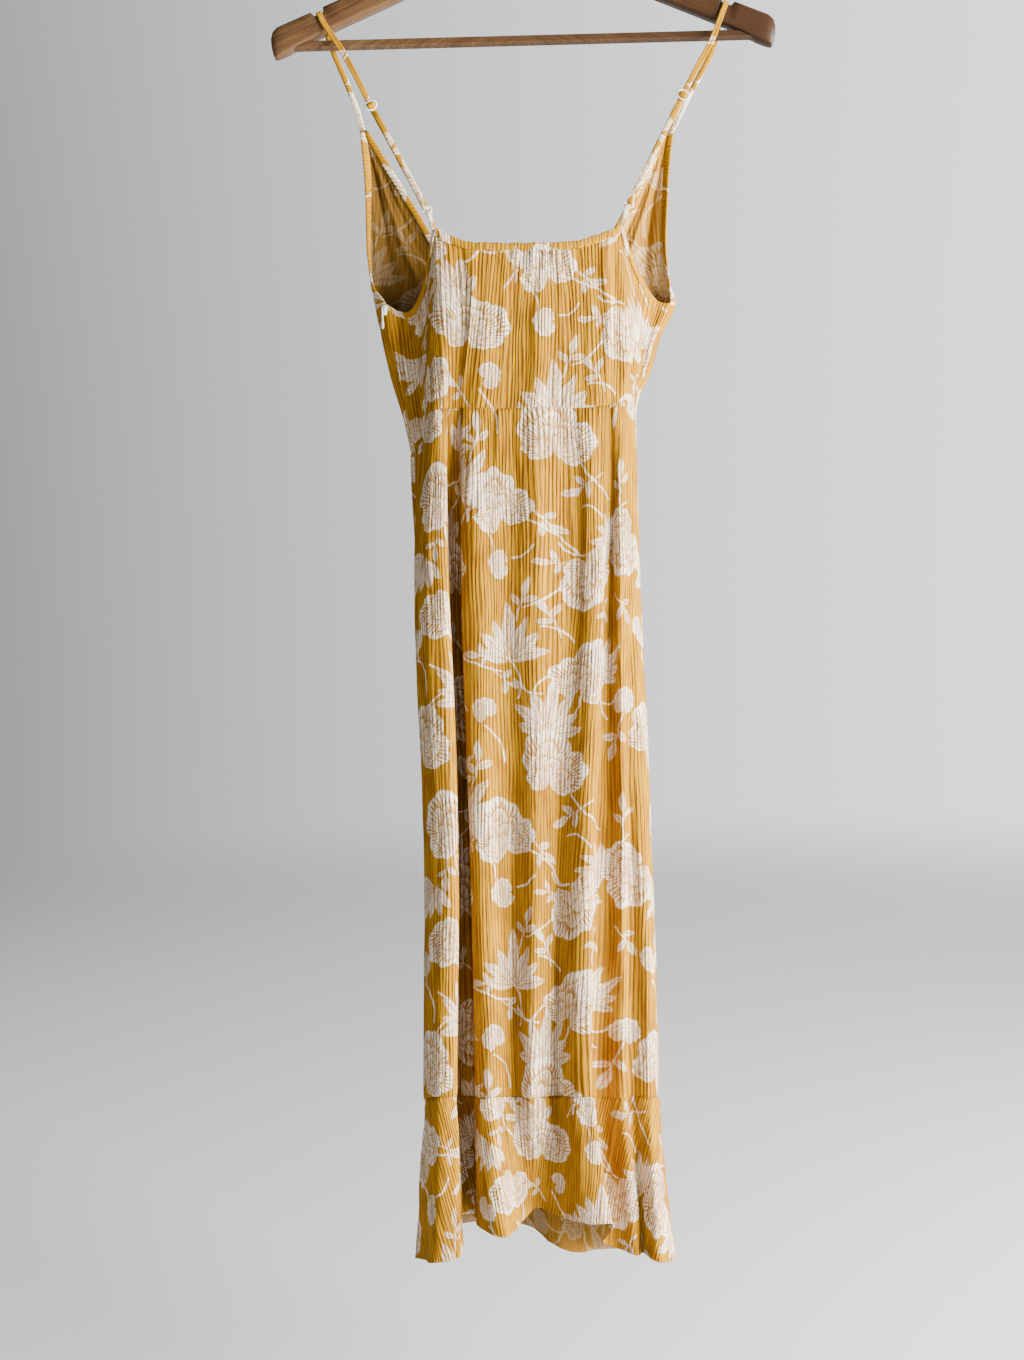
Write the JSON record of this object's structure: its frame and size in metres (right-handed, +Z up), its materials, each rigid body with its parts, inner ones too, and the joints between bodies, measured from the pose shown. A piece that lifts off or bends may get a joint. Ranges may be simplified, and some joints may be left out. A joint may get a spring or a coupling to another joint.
{
  "type": "sundress on a hanger",
  "caption": "Strappy printed midi sundress with a side zip and a flared flounce, hanging back outwards on a wooden hanger with a trouser bar.",
  "frame": {"origin": "top of the inside of the hanger's hook, where a rail or peg holds the hanger", "axes": "+Z up along the hanging dress, +X to the viewer's right when its back is seen, -Y towards the viewer"},
  "size_m": [0.445, 0.0872, 1.2576],
  "materials": {
    "printed_cloth": "crinkled matt",
    "binding_cloth": "matt",
    "zip_tape": "matt",
    "white_trim": "satin",
    "hanger_wood": "satin varnish",
    "hook_wire": "polished"
  },
  "bodies": {
    "garment": {"hanger_arm": "hanger_wood", "hanger_bar": "hanger_wood", "hanger_hook": "hook_wire", "back_skirt": "printed_cloth", "front_skirt": "printed_cloth", "back_flounce": "printed_cloth", "front_flounce": "printed_cloth", "back_bodice": "printed_cloth", "front_bodice_left": "printed_cloth", "front_bodice_right": "printed_cloth", "back_neck_casing": "binding_cloth", "neck_binding_left": "binding_cloth", "neck_binding_right": "binding_cloth", "armhole_binding_back_left": "binding_cloth", "armhole_binding_back_right": "binding_cloth", "armhole_binding_front_left": "binding_cloth", "armhole_binding_front_right": "binding_cloth", "strap_left": "binding_cloth", "strap_right": "binding_cloth", "ring_tab_left": "binding_cloth", "ring_tab_right": "binding_cloth", "slider_left": "white_trim", "slider_right": "white_trim", "ring_left": "white_trim", "ring_right": "white_trim", "zip_tape": "zip_tape", "zip_slider": "white_trim"},
    "zip_pull": {"zip_pull": "white_trim"}
  },
  "joints": [
    {"name": "zip_pull_swing", "type": "hinge", "parent": "garment", "child": "zip_pull", "pos_m": [-0.13023, -0.00753, -0.4027], "axis": [-0.8969, 0.4422, 0], "range_deg": [0, 150]}
  ]
}
